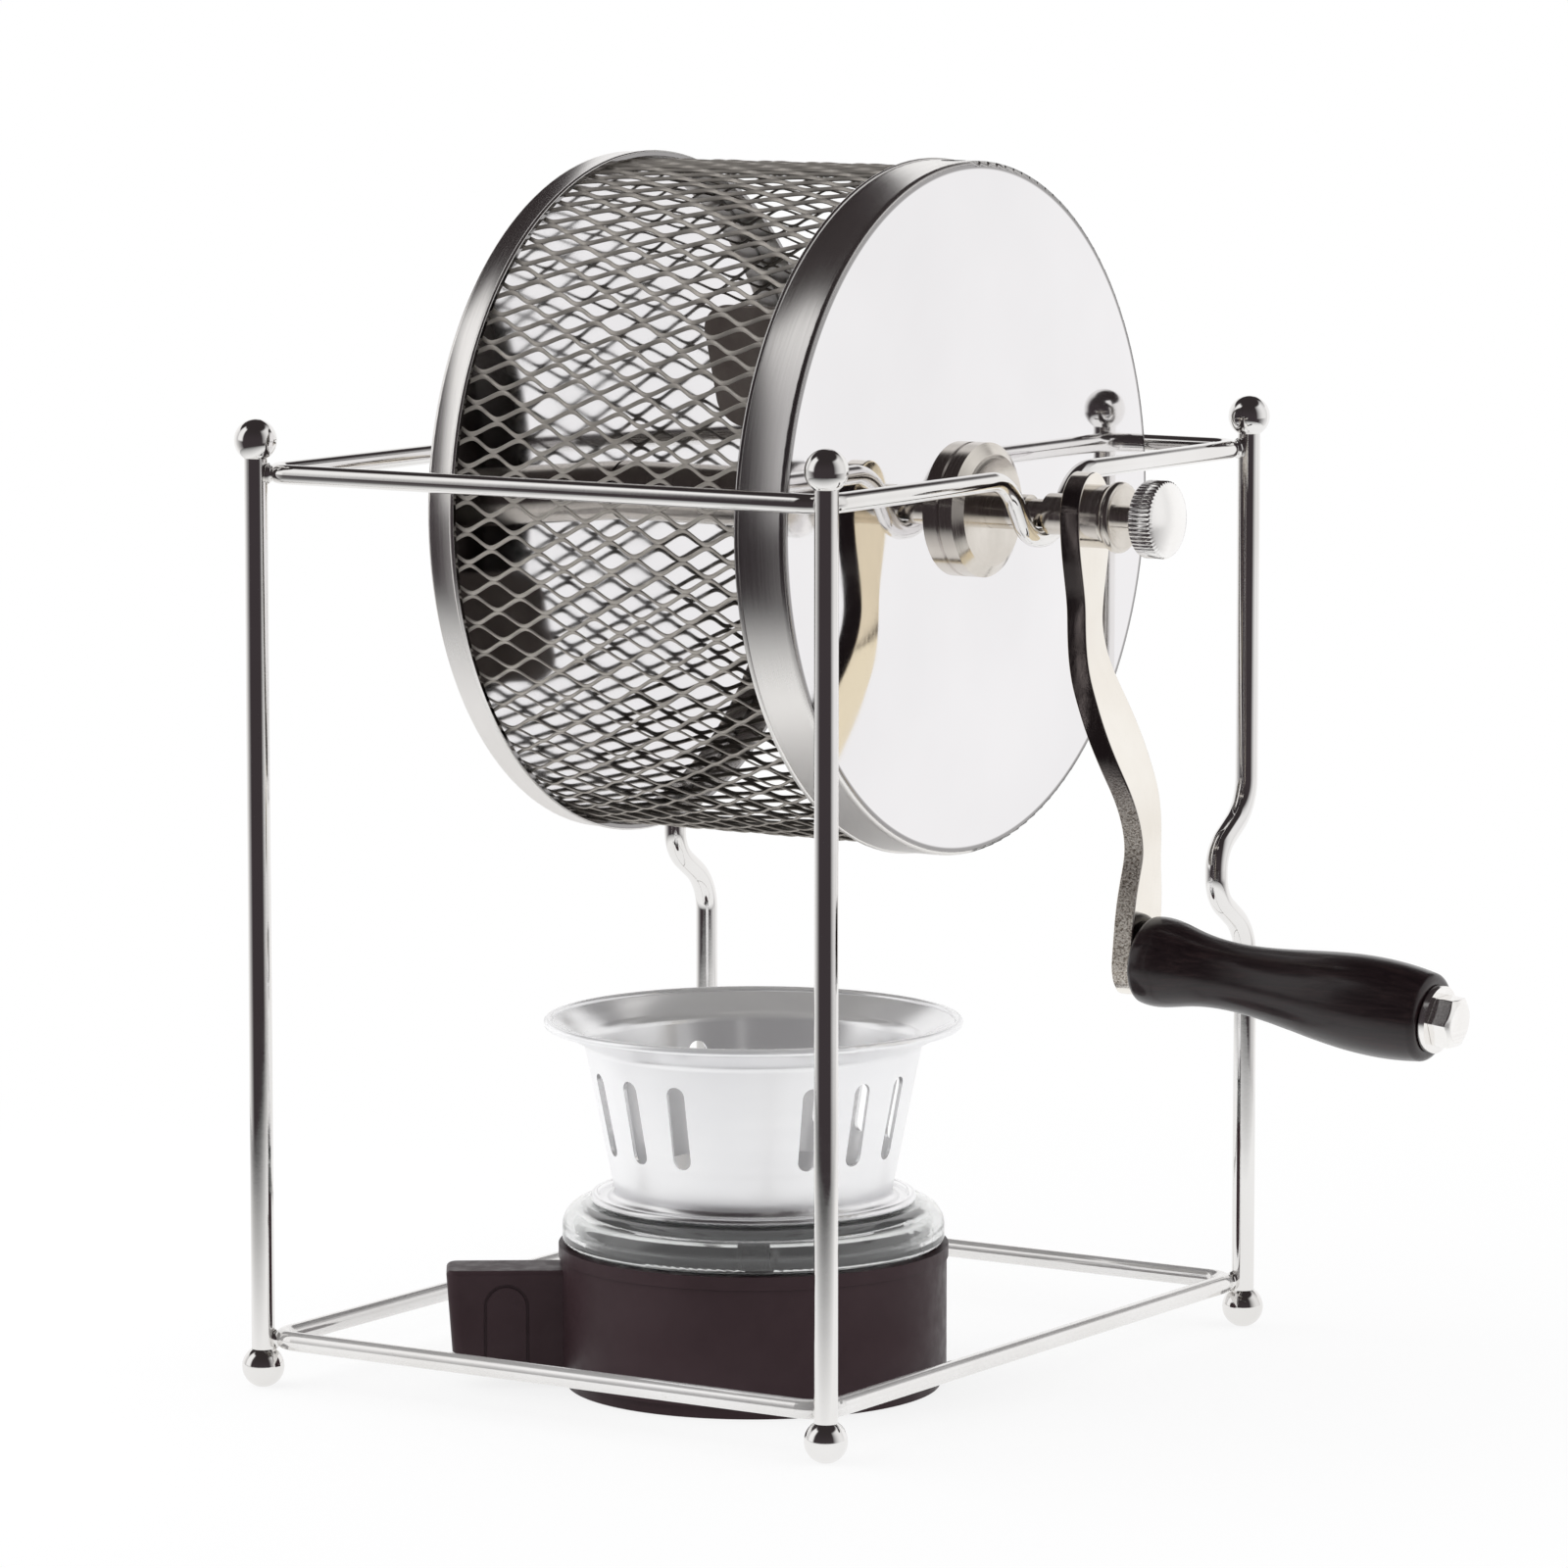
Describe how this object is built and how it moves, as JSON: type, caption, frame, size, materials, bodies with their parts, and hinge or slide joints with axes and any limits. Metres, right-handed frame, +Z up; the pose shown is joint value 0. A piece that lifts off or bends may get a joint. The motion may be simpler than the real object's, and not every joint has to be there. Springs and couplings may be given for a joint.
{
  "type": "hand-crank coffee roaster",
  "caption": "Table-top coffee roaster: a mesh drum on an axle hangs in a wire stand, turned by a crank with a wooden grip over a spirit lamp with a windscreen.",
  "frame": {"origin": "on the table, under the middle of the four posts", "axes": "+X along the drum's axle towards the crank, -Y to the front, +Z up"},
  "size_m": [0.2518, 0.1826, 0.2637],
  "materials": {
    "bright_wire": "bright nickel-chrome plate on steel wire",
    "mesh_steel": "expanded stainless steel, slightly dull",
    "drum_steel": "polished stainless sheet with brushed skirts",
    "turned_steel": "turned and polished steel",
    "nickel_arm": "nickel-plated flat bar with a rougher edge",
    "dark_wood": "turned hardwood, near-black lacquer",
    "brown_plastic": "dark brown moulding, satin",
    "clear_glass": "thick clear pressed glass",
    "aluminium": "satin spun aluminium",
    "cotton": "woven cotton wick"
  },
  "bodies": {
    "stand": {"post_front_left": "bright_wire", "post_front_right": "bright_wire", "post_rear_left": "bright_wire", "post_rear_right": "bright_wire", "top_ring": "bright_wire", "bottom_ring": "bright_wire", "top_finials": "bright_wire", "foot_balls": "bright_wire"},
    "spindle": {"axle": "turned_steel", "spacer_tube": "turned_steel", "lid": "drum_steel", "lid_hub": "turned_steel", "lifting_blade_a": "drum_steel", "lifting_blade_b": "drum_steel", "crank_arm": "nickel_arm", "crank_boss": "turned_steel", "lock_washer": "turned_steel", "handle_bolt": "turned_steel", "handle_washer": "turned_steel"},
    "drum_shell": {"drum_mesh": "mesh_steel", "mouth_band": "mesh_steel", "back_cap": "drum_steel", "back_hub": "turned_steel"},
    "thumb_screw": {"thumb_screw": "turned_steel"},
    "grip": {"wooden_grip": "dark_wood"},
    "lamp_holder": {"lamp_base": "brown_plastic"},
    "lamp_bowl": {"glass_bowl": "clear_glass"},
    "burner": {"burner_cap": "aluminium", "wick": "cotton"},
    "windscreen": {"windscreen": "aluminium"}
  },
  "joints": [
    {"name": "drum_spin", "type": "hinge", "parent": "stand", "child": "spindle", "pos_m": [0, 0, 0.18917], "axis": [1, 0, 0], "continuous": true},
    {"name": "drum_open", "type": "slide", "parent": "spindle", "child": "drum_shell", "axis": [-1, 0, 0], "range_m": [0, 0.024]},
    {"name": "thumb_screw_turn", "type": "hinge", "parent": "spindle", "child": "thumb_screw", "pos_m": [0.0989, 0, 0.18917], "axis": [1, 0, 0], "continuous": true},
    {"name": "grip_spin", "type": "hinge", "parent": "spindle", "child": "grip", "pos_m": [0.09424, 0, 0.09607], "axis": [0.9949, 0, -0.1011], "continuous": true},
    {"name": "lamp_slide", "type": "slide", "parent": "stand", "child": "lamp_holder", "axis": [0, 1, 0], "range_m": [-0.014, 0.06]},
    {"name": "bowl_lift", "type": "slide", "parent": "lamp_holder", "child": "lamp_bowl", "axis": [0, 0, 1], "range_m": [0, 0.015]},
    {"name": "burner_lift", "type": "slide", "parent": "lamp_bowl", "child": "burner", "axis": [0, 0, 1], "range_m": [0, 0.017]},
    {"name": "windscreen_lift", "type": "slide", "parent": "lamp_bowl", "child": "windscreen", "axis": [0, 0, 1], "range_m": [0, 0.017]}
  ]
}
